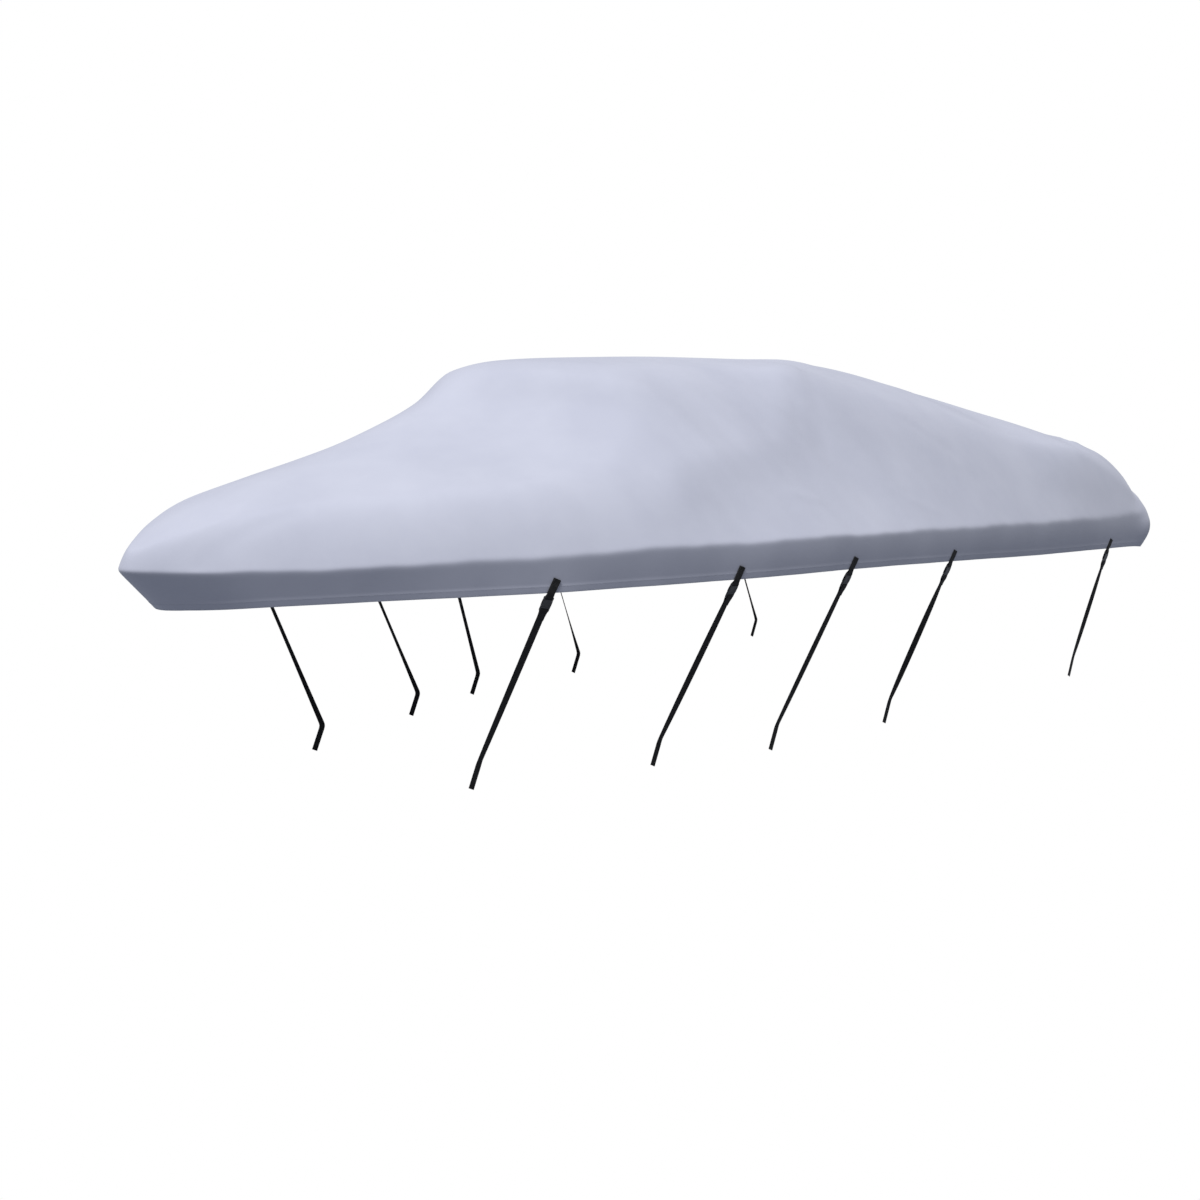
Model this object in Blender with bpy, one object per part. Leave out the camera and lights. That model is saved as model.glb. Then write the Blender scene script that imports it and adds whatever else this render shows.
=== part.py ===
"""A one-piece cloth cover, drawn tight and open below, with ten tie-down straps.

The cover is one thin sheet: a crowned top that falls to a blunt bow and a square stern,
a soft fold all round its widest line, and a skirt that ends in a hem. Five webbing tabs
are sewn on the skirt of each side. Each holds a side-release buckle, and from each
buckle a strap runs down and inwards to a plain cut end.

Metres, +X from bow to stern, +Y to starboard, +Z up. The shape is worked out from the bow
tip and from the level of the widest line, and then set so that the origin lies at the
underside of the crown, on the centreline.
"""

import math

import bmesh
import bpy
import numpy as np
from mathutils import Matrix, Vector

# Driving dimensions
LENGTH = 4.88            # bow tip to stern edge
STERN_CORNER = 0.10      # corner radius of the stern, seen from above
STERN_BOW = 0.02         # how far the stern edge bows out at its middle
SHEET = 0.003            # cloth thickness
HEM_EXTRA = 0.0012       # extra thickness of the turned hem
WEB_WIDTH = 0.025        # strap and tab webbing
WEB = 0.002
CLEAR = 0.0004           # gap between pieces that lie on each other
CROWN_X = 2.30           # the origin lies this far from the bow tip

# How finely the sheet is cut into faces
COLUMNS_A_SIDE = 48
WAYS_IN = (0.0, 0.012, 0.035, 0.075, 0.13, 0.20, 0.29, 0.40, 0.52, 0.66, 0.82)
WAYS_DOWN = (1.0, 0.9, 0.78, 0.56, 0.32, 0.12)
HEM_ROWS = 2             # the first rows of WAYS_DOWN, up from the rim, lie in the hem
SHARP_FROM = 40          # degrees between faces above which an edge is not smoothed

# Sections of the top: distance from the bow tip, half breadth at the widest line, height
# of the crown on the centreline, the share of it that is lost towards the sides, and how
# far the section sweeps back for each metre away from the centreline
SECTION_COLUMNS = ("station", "half_breadth", "crown", "fall", "sweep")
SECTIONS = (
    (0.00, 0.000, 0.040, 0.00, 0.60),
    (0.05, 0.100, 0.085, 0.00, 0.60),
    (0.14, 0.210, 0.140, 0.05, 0.60),
    (0.28, 0.352, 0.205, 0.10, 0.60),
    (0.50, 0.525, 0.270, 0.15, 0.65),
    (0.82, 0.722, 0.358, 0.20, 0.75),
    (1.04, 0.838, 0.438, 0.20, 0.90),
    (1.22, 0.905, 0.518, 0.20, 0.98),
    (1.40, 0.965, 0.638, 0.20, 1.00),
    (1.60, 1.015, 0.676, 0.24, 0.95),
    (2.00, 1.090, 0.696, 0.32, 0.80),
    (2.40, 1.125, 0.707, 0.38, 0.50),
    (2.80, 1.138, 0.709, 0.46, 0.15),
    (3.20, 1.143, 0.700, 0.56, 0.00),
    (3.50, 1.141, 0.680, 0.62, 0.00),
    (3.80, 1.137, 0.624, 0.62, 0.00),
    (4.10, 1.130, 0.565, 0.58, 0.00),
    (4.40, 1.122, 0.505, 0.53, 0.00),
    (4.70, 1.114, 0.440, 0.53, 0.00),
    (4.88, 1.110, 0.400, 0.53, 0.00),
)

# The widest line and the skirt below it. A station past the stern corner runs on along
# the stern edge: height of the fold, height of the hem, how far the hem lies inside the
# fold and aft of it, how far the skirt bulges out, and how steeply the cloth rises above
EDGE_COLUMNS = ("station", "fold", "hem", "inset", "rake", "bulge", "rise")
EDGE = (
    (0.00, 0.012, -0.115, 0.010, 0.115, 0.000, 2.6),
    (0.05, 0.011, -0.112, 0.014, 0.096, 0.000, 2.5),
    (0.14, 0.010, -0.106, 0.018, 0.063, 0.000, 2.4),
    (0.30, 0.016, -0.094, 0.022, 0.021, 0.000, 2.2),
    (0.80, 0.031, -0.079, 0.024, 0.000, 0.000, 2.0),
    (1.45, 0.050, -0.073, 0.022, 0.000, 0.002, 1.35),
    (2.05, 0.050, -0.075, 0.020, 0.000, 0.004, 0.98),
    (2.45, 0.044, -0.082, 0.020, 0.000, 0.004, 0.98),
    (2.95, 0.034, -0.098, 0.020, 0.000, 0.005, 1.18),
    (3.85, 0.012, -0.132, 0.020, 0.000, 0.006, 1.35),
    (4.40, 0.002, -0.148, 0.018, 0.000, 0.010, 1.8),
    (4.70, 0.002, -0.158, 0.015, 0.000, 0.020, 1.7),
    (4.86, 0.022, -0.168, 0.022, 0.000, 0.038, 1.3),
    (5.20, 0.034, -0.170, 0.030, 0.000, 0.026, 2.2),
    (5.95, 0.034, -0.170, 0.030, 0.000, 0.022, 2.6),
)
SOFTNESS = 0.13          # height over which the rise rounds into the crown
RIDGE_ROUND = 0.15       # half width of the rounding where swept sections meet
SPINE_START = 0.45       # ends of the line on the centreline that all the columns run to
SPINE_END = 4.30
FOLDS_FULL = 0.12        # share of the way in at which creases reach their full height

# Soft creases (positive) and hollows (negative) of the top, each along a line in plan:
# both ends, half width and height
FOLDS = (
    (3.05, -0.26, 2.32, -0.76, 0.17, 0.022),
    (2.32, -0.76, 1.55, -0.86, 0.10, 0.014),
    (2.85, -0.80, 3.90, -0.82, 0.20, -0.012),
    (3.00, 0.28, 2.35, 0.74, 0.18, 0.020),
    (2.35, 0.74, 1.60, 0.84, 0.11, 0.012),
    (2.90, 0.78, 3.95, 0.80, 0.20, -0.010),
)


def table_column(rows, names, name, at):
    """Smooth values of one column, read between the rows without overshoot.

    The rows are spaced by the root of their station, which suits the blunt bow.
    """
    table = np.array(rows)
    xs = np.sqrt(table[:, 0])
    ys = table[:, names.index(name)]
    at = np.sqrt(np.clip(at, table[0, 0], table[-1, 0]))
    gaps = np.diff(xs)
    slopes = np.diff(ys) / gaps
    tangents = np.zeros(len(xs))
    tangents[0], tangents[-1] = slopes[0], slopes[-1]
    for i in range(1, len(xs) - 1):
        before, after = slopes[i - 1], slopes[i]
        if before * after > 0:
            w1, w2 = 2 * gaps[i] + gaps[i - 1], gaps[i] + 2 * gaps[i - 1]
            tangents[i] = (w1 + w2) / (w1 / before + w2 / after)
    i = np.clip(np.searchsorted(xs, at) - 1, 0, len(xs) - 2)
    gap = gaps[i]
    t = (at - xs[i]) / gap
    return (
        (1 + 2 * t) * (1 - t) ** 2 * ys[i] + t * (1 - t) ** 2 * gap * tangents[i]
        + t * t * (3 - 2 * t) * ys[i + 1] + t * t * (t - 1) * gap * tangents[i + 1]
    )


def section(name, at):
    return table_column(SECTIONS, SECTION_COLUMNS, name, at)


def edge(name, at):
    return table_column(EDGE, EDGE_COLUMNS, name, at)


CORNER_START = LENGTH - STERN_CORNER
CORNER_END = CORNER_START + math.pi / 2 * STERN_CORNER
STERN_HALF = float(section("half_breadth", CORNER_START)) - STERN_CORNER
LAST_STATION = CORNER_END + STERN_HALF


def outline(station):
    """Plan position (x, distance from the centreline) of the widest line."""
    station = np.asarray(station, float)
    turn = np.clip((station - CORNER_START) / STERN_CORNER, 0, math.pi / 2)
    across = np.clip(LAST_STATION - station, 0, STERN_HALF)
    bow_out = STERN_BOW * (1 - (across / STERN_HALF) ** 2)
    side = station < CORNER_START
    x = np.where(side, station, CORNER_START + STERN_CORNER * np.sin(turn) + bow_out)
    y = np.where(
        side, section("half_breadth", station),
        np.where(station < CORNER_END, STERN_HALF + STERN_CORNER * np.cos(turn), across),
    )
    return x, y


def column_stations(count):
    """Stations from bow tip to stern middle, closest where the outline turns most."""
    fine = LAST_STATION * np.linspace(0, 1, 1501) ** 2
    x, y = outline(fine)
    steps = np.hypot(np.diff(x), np.diff(y))
    heading = np.unwrap(np.arctan2(np.diff(y), np.diff(x)))
    turning = np.abs(np.diff(heading, prepend=heading[0]))
    travelled = np.concatenate([[0], np.cumsum(steps + 0.45 * turning)])
    return np.interp(np.linspace(0, travelled[-1], count + 1), travelled, fine)


def soft_min(a, b, soft):
    near = np.maximum(soft - np.abs(a - b), 0) / soft
    return np.minimum(a, b) - near * near * soft / 4


def crown(x, y):
    """Height of the crowned top where no side limits it."""
    half = np.maximum(section("half_breadth", np.minimum(x, CORNER_START)), 0.02)
    spread = np.clip(np.abs(y) / half, 0, 1)
    aside = np.hypot(y, RIDGE_ROUND) - RIDGE_ROUND
    height = section("crown", x - section("sweep", x) * aside)
    return height * (1 - section("fall", x) * spread ** 2)


def folds(x, y):
    """Height that the soft creases and hollows of the drawn cloth add to the top."""
    height = np.zeros(np.shape(x))
    for x0, y0, x1, y1, half_width, lift in FOLDS:
        run_x, run_y = x1 - x0, y1 - y0
        along = np.clip(((x - x0) * run_x + (y - y0) * run_y) / (run_x ** 2 + run_y ** 2), 0, 1)
        away = np.hypot(x - x0 - along * run_x, y - y0 - along * run_y)
        height = height + lift * np.exp(-(away / half_width) ** 2)
    return height


def sheet_rows(count, ways_in, ways_down):
    """Outer surface of the cloth: rows from the hem up to the last ring before the spine.

    Each row runs round the cover, along port to the stern middle and back along
    starboard. The spine is the line on the centreline where both sides meet.
    """
    stations = column_stations(count)
    port_x, half = outline(stations)
    around = np.arange(2 * count)
    nearest = np.where(around <= count, around, 2 * count - around)
    station = stations[nearest]
    x, y = port_x[nearest], half[nearest] * np.where(around <= count, -1.0, 1.0)
    ahead, behind = np.roll(around, -1), np.roll(around, 1)
    out_x, out_y = y[ahead] - y[behind], x[behind] - x[ahead]
    size = np.hypot(out_x, out_y)
    out_x, out_y = out_x / size, out_y / size
    fold, hem = edge("fold", station), edge("hem", station)
    rows = []
    for way in ways_down:
        out = edge("bulge", station) * math.sin(math.pi * way) - edge("inset", station) * way
        aft = edge("rake", station) * way
        rows.append((x + out * out_x + aft, y + out * out_y, fold + (hem - fold) * way))
    spine_x = SPINE_START + (SPINE_END - SPINE_START) * station / LAST_STATION
    reach = np.hypot(spine_x - x, y)
    soft = np.minimum(SOFTNESS, 0.95 * (crown(x, y) - fold))
    for way in ways_in:
        in_x, in_y = x + (spine_x - x) * way, y * (1 - way)
        rise = fold + edge("rise", station) * reach * way
        top = soft_min(rise, crown(in_x, in_y), soft)
        rows.append((in_x, in_y, top + folds(in_x, in_y) * min(1, way / FOLDS_FULL)))
    spine = spine_x[:count + 1]
    top = crown(spine, 0 * spine) + folds(spine, 0 * spine)
    return np.array(rows).transpose(0, 2, 1), np.array((spine, 0 * spine, top)).T, stations


# A strap for each station: where its tab is sewn, the plan position of the edge that it
# is drawn over, and how far it is twisted at its middle
STRAP_COLUMNS = ("station", "edge_x", "edge_y", "twist")
STRAPS = (
    (1.000, 1.045, 0.430, 6.0),
    (1.676, 1.710, 0.660, 18.0),
    (2.250, 2.200, 0.820, 12.0),
    (2.920, 2.910, 0.870, 38.0),
    (4.400, 4.440, 0.940, 22.0),
)
EDGE_HEIGHT = -0.680     # of the edge below, where each strap bends to hang straight
STRAP_DROP = 0.088       # from that bend down to the cut end
STRAP_LEAN = 0.040       # and how far the strap leans towards the bow on that drop
TAB_HEIGHTS = (0.045, 0.029, 0.0135, 0.001, -0.003)  # above the rim, from a tab's top down
TAB_SLANT = 0.4          # how far a tab leans aft for each metre up the skirt
TAB_DROP = 0.017         # from the hem to the middle of the buckle's upper bar
TAIL = 0.042             # from the plug's bar down to the end of the strap's tail
CLOSED = 0.026           # and to where the tail lies against the strap
RUN_SHARES = (0, 0.1, 0.2, 0.3, 0.4, 0.5, 0.6, 0.7, 0.8, 0.9, 0.985)  # of the straight run
DROP_SHARES = (0.06, 0.5, 1.0)  # and of the drop below its bend

# Buckle: a socket on the tab with a plug clipped into it. Heights run up from the middle
# of the socket's bar, so all but its top lie below zero
BUCKLE_HALF = 0.0165     # half width of both pieces
BAR_HALF = 0.0021        # half height and half depth of both bars
LOOP = 0.0046            # from a bar's middle to the middle of the webbing round it
SLOT = 0.0062            # from a bar's middle to the far edge of its slots
SLOT_HALF = WEB_WIDTH / 2 + 0.0006
CUT_PAST = 0.01          # how far a cutting box runs past the face it opens
SOCKET_END = -0.0345
PLUG_TOP = SOCKET_END - CLEAR
PLUG_BAR = -0.0475
PAST_PLUG = 0.0115       # from the plug's bar to where the webbing has cleared its end
OUTWARD = 0.0028         # how far outside the skirt the buckle's middle plane lies

# Boxes that are joined and cut in turn, each centred on the buckle's middle plane
BOX_COLUMNS = ("operation", "left", "right", "bottom", "top", "half_depth")
SOCKET_BOXES = (
    ("BODY", -BUCKLE_HALF, BUCKLE_HALF, SOCKET_END, -SLOT, 0.0046),
    ("UNION", -BUCKLE_HALF, BUCKLE_HALF, -SLOT - 0.003, BAR_HALF, 0.0036),  # frame
    ("DIFFERENCE", -SLOT_HALF, SLOT_HALF, -SLOT, BAR_HALF + CUT_PAST, CUT_PAST),  # slot
    ("UNION", -0.0155, 0.0155, -BAR_HALF, BAR_HALF - 0.0002, BAR_HALF),  # bar
    ("DIFFERENCE", -0.0132, 0.0132, SOCKET_END - CUT_PAST, -0.0107, 0.0029),  # hollow
    ("DIFFERENCE", -0.0200, 0.0200, -0.0265, -0.0150, 0.0029),  # both side windows
)
PLUG_BOXES = (
    ("BODY", -BUCKLE_HALF, BUCKLE_HALF, PLUG_BAR - SLOT - 0.0035, PLUG_TOP, 0.0032),
    ("DIFFERENCE", -SLOT_HALF, SLOT_HALF, PLUG_BAR - SLOT, PLUG_BAR + SLOT, CUT_PAST),  # slot
    ("UNION", -0.0155, 0.0155, PLUG_BAR - BAR_HALF, PLUG_BAR + BAR_HALF, BAR_HALF),  # bar
    ("UNION", -0.0020, 0.0020, PLUG_TOP - 0.002, -0.0130, 0.0024),  # guide between the arms
    ("UNION", -0.0126, -0.0088, PLUG_TOP - 0.002, -0.0150, 0.0023),  # left arm
    ("UNION", 0.0088, 0.0126, PLUG_TOP - 0.002, -0.0150, 0.0023),  # right arm
    ("UNION", -0.0150, -0.0110, -0.0258, -0.0157, 0.0021),  # left button
    ("UNION", 0.0110, 0.0150, -0.0258, -0.0157, 0.0021),  # right button
)


def unit(vector):
    return vector / np.linalg.norm(vector)


def link(name, mesh, material):
    mesh.materials.clear()
    mesh.materials.append(material)
    mesh.shade_smooth()
    mesh.set_sharp_from_angle(angle=math.radians(SHARP_FROM))
    thing = bpy.data.objects.new(name, mesh)
    bpy.context.collection.objects.link(thing)
    return thing


def mesh_from(name, points, faces):
    mesh = bpy.data.meshes.new(name)
    mesh.from_pydata([tuple(p) for p in points], [], faces)
    mesh.validate()
    return mesh


def surface_normals(points, faces):
    normals = np.zeros_like(points)
    for face in faces:
        a, b, c, d = points[list(face)]
        normals[list(face)] += np.cross(c - a, d - b)
    return normals / np.linalg.norm(normals, axis=1)[:, None]


def halves(points, quads):
    """Two triangles from each quad, along its shorter diagonal."""
    triangles = []
    for a, b, c, d in quads:
        if np.linalg.norm(points[a] - points[c]) < np.linalg.norm(points[b] - points[d]):
            triangles += [(a, b, c), (a, c, d)]
        else:
            triangles += [(a, b, d), (b, c, d)]
    return triangles


def sheet_mesh(rows, spine):
    """Closed thin solid: the outer skin, the inner skin and the rim that joins them.

    Both skins are cut into the same triangles, so the sheet is as thick all over.
    """
    row_count, around = rows.shape[:2]
    points = np.concatenate([rows.reshape(-1, 3), spine])
    spine_from = row_count * around
    faces = []
    for i in range(row_count - 1):
        for k in range(around):
            ahead = (k + 1) % around
            faces.append((i * around + k, i * around + ahead,
                          (i + 1) * around + ahead, (i + 1) * around + k))
    last = (row_count - 1) * around
    for k in range(around):
        ahead = (k + 1) % around
        faces.append((last + k, last + ahead,
                      spine_from + min(k + 1, around - k - 1), spine_from + min(k, around - k)))
    normals = surface_normals(points, faces)
    hem = np.zeros(len(points))
    hem[:HEM_ROWS * around] = HEM_EXTRA
    outer = points + normals * (hem / 2)[:, None]
    inner = points - normals * (SHEET + hem / 2)[:, None]
    count = len(points)
    skin = halves(points, faces)
    solid = skin + [tuple(count + i for i in reversed(face)) for face in skin]
    for k in range(around):
        ahead = (k + 1) % around
        solid.append((ahead, k, count + k, count + ahead))
    return outer[:spine_from].reshape(rows.shape), np.concatenate([outer, inner]), solid


def ribbon_mesh(name, path, across, width=WEB_WIDTH, thickness=WEB):
    """Flat webbing swept along a path. Each point has its own direction across."""
    path = np.array(path, float)
    steps = np.diff(path, axis=0)
    steps /= np.linalg.norm(steps, axis=1)[:, None]
    along = np.concatenate([steps[:1], steps[:-1] + steps[1:], steps[-1:]])
    points, faces = [], []
    for point, ahead, side in zip(path, along, across):
        ahead = unit(ahead)
        side = unit(side - ahead * np.dot(side, ahead))
        up = np.cross(ahead, side)
        for i, j in ((-1, -1), (1, -1), (1, 1), (-1, 1)):
            points.append(point + side * i * width / 2 + up * j * thickness / 2)
    for k in range(len(path) - 1):
        for i in range(4):
            j = (i + 1) % 4
            faces.append((4 * k + i, 4 * k + j, 4 * k + 4 + j, 4 * k + 4 + i))
    last = 4 * (len(path) - 1)
    faces += [(3, 2, 1, 0), (last, last + 1, last + 2, last + 3)]
    return mesh_from(name, points, faces)


def box(row):
    across, heights = (row["left"], row["right"]), (row["bottom"], row["top"])
    depths = (-row["half_depth"], row["half_depth"])
    corners = [(x, y, z) for x in across for y in heights for z in depths]
    faces = [(0, 1, 3, 2), (4, 6, 7, 5), (0, 4, 5, 1), (2, 3, 7, 6), (0, 2, 6, 4), (1, 5, 7, 3)]
    thing = bpy.data.objects.new("box", mesh_from("box", corners, faces))
    bpy.context.collection.objects.link(thing)
    return thing


def buckle_mesh(name, table):
    """One mesh from a table's first box and the boxes joined to it or cut from it in turn."""
    rows = [dict(zip(BOX_COLUMNS, row)) for row in table]
    boxes = [box(row) for row in rows]
    for row, other in zip(rows[1:], boxes[1:]):
        modifier = boxes[0].modifiers.new(row["operation"], "BOOLEAN")
        modifier.operation = row["operation"]
        modifier.solver = "EXACT"
        modifier.object = other
    evaluated = boxes[0].evaluated_get(bpy.context.evaluated_depsgraph_get())
    mesh = bpy.data.meshes.new_from_object(evaluated)
    mesh.name = name
    shape = bmesh.new()
    shape.from_mesh(mesh)
    bmesh.ops.triangulate(shape, faces=shape.faces)
    shape.to_mesh(mesh)
    shape.free()
    for thing in boxes:
        bpy.data.objects.remove(thing, do_unlink=True)
    return mesh


def skirt_point(rows, stations, station, height):
    """Point on the faces of the outer skirt, the given way up from the hem's rim.

    A height below zero lies past the rim, straight on down. The second value is the
    direction along the hem.
    """
    k = int(np.searchsorted(stations, station)) - 1
    share = (station - stations[k]) / (stations[k + 1] - stations[k])
    column = rows[:, k] * (1 - share) + rows[:, k + 1] * share
    ways = np.concatenate([[0], np.cumsum(np.linalg.norm(np.diff(column, axis=0), axis=1))])
    point = np.array([np.interp(height, ways, column[:, i]) for i in range(3)])
    point += unit(column[0] - column[1]) * max(-height, 0.0)
    return point, unit(rows[0, k + 1] - rows[0, k])


def strap_frame(rows, stations, strap):
    """Hem point and buckle axes of a port strap: along it, outwards and across."""
    rim, along_hem = skirt_point(rows, stations, strap["station"], 0.0)
    bend = np.array([strap["edge_x"], -strap["edge_y"], EDGE_HEIGHT])
    outward = np.cross([0.0, 0.0, 1.0], along_hem)
    outward *= math.copysign(1.0, -outward[1])
    start = rim + unit(outward) * OUTWARD
    down = unit(bend - start)
    across = unit(along_hem - down * np.dot(along_hem, down))
    outward = np.cross(across, down)
    outward *= math.copysign(1.0, -outward[1])
    return {"start": start, "bend": bend, "down": down, "outward": outward, "across": across,
            "along_hem": along_hem}


def arc(middle, first, second, radius, turns):
    return [middle + (first * math.cos(t) + second * math.sin(t)) * radius
            for t in np.radians(turns)]


def tab_path(rows, stations, strap, frame):
    """Down the skirt, round the socket's bar and up again on the outer side."""
    bar = frame["start"] + frame["down"] * TAB_DROP
    inner, outer = [], []
    for height in TAB_HEIGHTS:
        at = strap["station"] + TAB_SLANT * max(height, 0.0)
        point, _ = skirt_point(rows, stations, at, height)
        lower, _ = skirt_point(rows, stations, at, height - 0.003)
        outward = unit(np.cross(frame["along_hem"], unit(lower - point)))
        outward *= math.copysign(1.0, -outward[1])
        inner.append(point + outward * (CLEAR + WEB / 2))
        outer.append(point + outward * (2 * CLEAR + 1.5 * WEB))
    loop = arc(bar, frame["outward"], -frame["down"], LOOP, (180, 216, 252, 288, 324, 360))
    across = [frame["along_hem"]] * len(inner) + [frame["across"]] * len(loop)
    return inner + loop + outer[::-1], across + [frame["along_hem"]] * len(outer)


def strap_path(frame):
    """From the tail's end up round the plug's bar and down to the cut end.

    The second value is the number of points before the straight run.
    """
    down, outward, bend = frame["down"], frame["outward"], frame["bend"]
    bar = frame["start"] + down * (TAB_DROP - PLUG_BAR)
    gap = WEB + CLEAR

    def below(way, out):
        return bar + down * way + outward * out

    loop = [below(TAIL, gap * 0.5), below(CLOSED, gap * 0.6), below(PAST_PLUG, LOOP)]
    loop += arc(bar, outward, down, LOOP, (0, -36, -72, -108, -144, -180))
    loop += [below(PAST_PLUG, -LOOP), below(CLOSED, -gap * 0.5)]
    start = below(TAIL, -gap * 0.5)
    run = [start + (bend - start) * share for share in RUN_SHARES]
    drop = [bend - np.array([STRAP_LEAN, 0.0, STRAP_DROP]) * share for share in DROP_SHARES]
    return np.array(loop + run + drop), len(loop)


def strap_across(path, loop_points, frame, twist):
    """Direction across the strap: along the buckle, twisted at mid run, level on the drop."""
    ways = np.concatenate([[0], np.cumsum(np.linalg.norm(np.diff(path, axis=0), axis=1))])
    run_start, run_end = ways[loop_points], ways[-len(DROP_SHARES)]
    share = np.clip((ways - run_start) / (run_end - run_start), 0, 1)
    result = []
    for s in share:
        side = unit(frame["across"] * (1 - s) + np.array([1.0, 0.0, 0.0]) * s)
        turn = Matrix.Rotation(math.radians(twist) * math.sin(math.pi * s) ** 0.8, 3,
                               Vector(frame["down"]))
        result.append(np.array(turn @ Vector(side)))
    return result


def material(name, colour, roughness):
    surface = bpy.data.materials.new(name)
    surface.use_nodes = True
    shader = surface.node_tree.nodes["Principled BSDF"]
    shader.inputs["Base Color"].default_value = (*colour, 1.0)
    shader.inputs["Roughness"].default_value = roughness
    shader.inputs["Metallic"].default_value = 0.0
    return surface


for thing in list(bpy.data.objects):
    bpy.data.objects.remove(thing, do_unlink=True)

cloth = material("grey_polyester", (0.28, 0.30, 0.36), 0.75)
webbing = material("black_webbing", (0.012, 0.012, 0.013), 0.8)
plastic = material("black_plastic", (0.015, 0.015, 0.016), 0.4)

rows, spine, stations = sheet_rows(COLUMNS_A_SIDE, WAYS_IN, WAYS_DOWN)
to_origin = np.array([-CROWN_X, 0.0, SHEET - float(crown(CROWN_X, 0.0))])
skirt, points, faces = sheet_mesh(rows + to_origin, spine + to_origin)
link("cover_cloth", mesh_from("cover_cloth", points, faces), cloth)
socket = buckle_mesh("buckle_socket", SOCKET_BOXES)
plug = buckle_mesh("buckle_plug", PLUG_BOXES)
mirror = np.array([1.0, -1.0, 1.0])

for number, row in enumerate(STRAPS, 1):
    strap = dict(zip(STRAP_COLUMNS, row))
    frame = strap_frame(skirt - to_origin, stations, strap)
    tab, tab_across = tab_path(skirt - to_origin, stations, strap, frame)
    path, loop_points = strap_path(frame)
    across = strap_across(path, loop_points, frame, strap["twist"])
    for side, flip in (("port", np.ones(3)), ("starboard", mirror)):
        tab_points = [(p + to_origin) * flip for p in tab]
        link(f"tab_{side}_{number}",
             ribbon_mesh("tab", tab_points, [a * flip for a in tab_across]), webbing)
        link(f"strap_{side}_{number}",
             ribbon_mesh("strap", [(p + to_origin) * flip for p in path],
                         [a * flip for a in across]), webbing)
        across_axis, out_axis = frame["across"] * flip, frame["outward"] * flip
        up_axis = -frame["down"] * flip
        if np.dot(np.cross(across_axis, up_axis), out_axis) < 0:
            across_axis = -across_axis
        bar = (frame["start"] + frame["down"] * TAB_DROP + to_origin) * flip
        placing = Matrix.Identity(4)
        for axis, vector in enumerate((across_axis, up_axis, out_axis, bar)):
            for i in range(3):
                placing[i][axis] = vector[i]
        for piece, mesh in (("socket", socket), ("plug", plug)):
            link(f"{piece}_{side}_{number}", mesh, plastic).matrix_world = placing
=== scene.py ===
"""A fitted boat cover: one drawn sheet of grey coated canvas, held down by webbing straps."""

import math

import bmesh
import bpy
import numpy as np
from mathutils import Matrix, Vector


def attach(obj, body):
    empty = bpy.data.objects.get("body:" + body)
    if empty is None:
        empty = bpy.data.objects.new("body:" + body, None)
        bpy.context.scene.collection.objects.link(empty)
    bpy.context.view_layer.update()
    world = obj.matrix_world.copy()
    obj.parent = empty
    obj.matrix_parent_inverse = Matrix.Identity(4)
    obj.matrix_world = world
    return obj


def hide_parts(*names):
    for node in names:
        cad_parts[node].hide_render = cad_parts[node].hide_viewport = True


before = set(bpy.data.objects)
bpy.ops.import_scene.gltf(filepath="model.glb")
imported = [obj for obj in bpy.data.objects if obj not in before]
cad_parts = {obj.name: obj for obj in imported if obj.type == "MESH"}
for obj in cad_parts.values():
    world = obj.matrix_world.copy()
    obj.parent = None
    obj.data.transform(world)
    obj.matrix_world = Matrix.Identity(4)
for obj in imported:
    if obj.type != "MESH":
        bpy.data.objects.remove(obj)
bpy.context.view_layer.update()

# The view: a camera at head height off the port bow, a soft high light from ahead as under
# a bright sky, and a pale ground that throws light back but doesn't show against the white
EYE = (-4.618, -4.060, -0.211)
VIEW_YAW = 47.5          # degrees from +Y towards +X
VIEW_DOWN = 7.22
LENS = 45.0              # millimetres, in a frame of this width
FRAME_WIDTH = 36.0
LIGHT_FROM = (-0.412, -0.085, 0.907)
LIGHT_ENERGY = 5.9
LIGHT_SPREAD = 35.0      # degrees
SKY_STRENGTH = 0.40
SKY_TINT = (0.93, 0.96, 1.0)
GROUND_HEIGHT = -1.93
GROUND_SIZE = 400.0
GROUND_GREY = (0.205, 0.220, 0.255)

yaw, down = math.radians(VIEW_YAW), math.radians(VIEW_DOWN)
looking = Vector((math.sin(yaw) * math.cos(down), math.cos(yaw) * math.cos(down), -math.sin(down)))
camera_data = bpy.data.cameras.new("camera")
camera_data.lens = LENS
camera_data.sensor_width = FRAME_WIDTH
camera = bpy.data.objects.new("camera", camera_data)
camera.location = EYE
camera.rotation_euler = looking.to_track_quat("-Z", "Y").to_euler()
bpy.context.collection.objects.link(camera)
bpy.context.scene.camera = camera
bpy.context.scene.view_settings.view_transform = "Standard"

light_data = bpy.data.lights.new("high_light", "SUN")
light_data.energy = LIGHT_ENERGY
light_data.angle = math.radians(LIGHT_SPREAD)
light = bpy.data.objects.new("high_light", light_data)
light.rotation_euler = Vector(LIGHT_FROM).to_track_quat("Z", "Y").to_euler()
bpy.context.collection.objects.link(light)

world = bpy.data.worlds.new("studio")
world.use_nodes = True
sky = world.node_tree
sky.nodes.clear()


def fill(made, values):
    """Give a node's inputs their values, with _ for a space in an input's name."""
    for name, value in values.items():
        made.inputs[name.replace("_", " ")].default_value = value


def node(tree, kind, settings=None, **values):
    """A shader node with its own settings and the values of its inputs."""
    made = tree.nodes.new(kind)
    for name, value in (settings or {}).items():
        setattr(made, name, value)
    fill(made, values)
    return made


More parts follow.
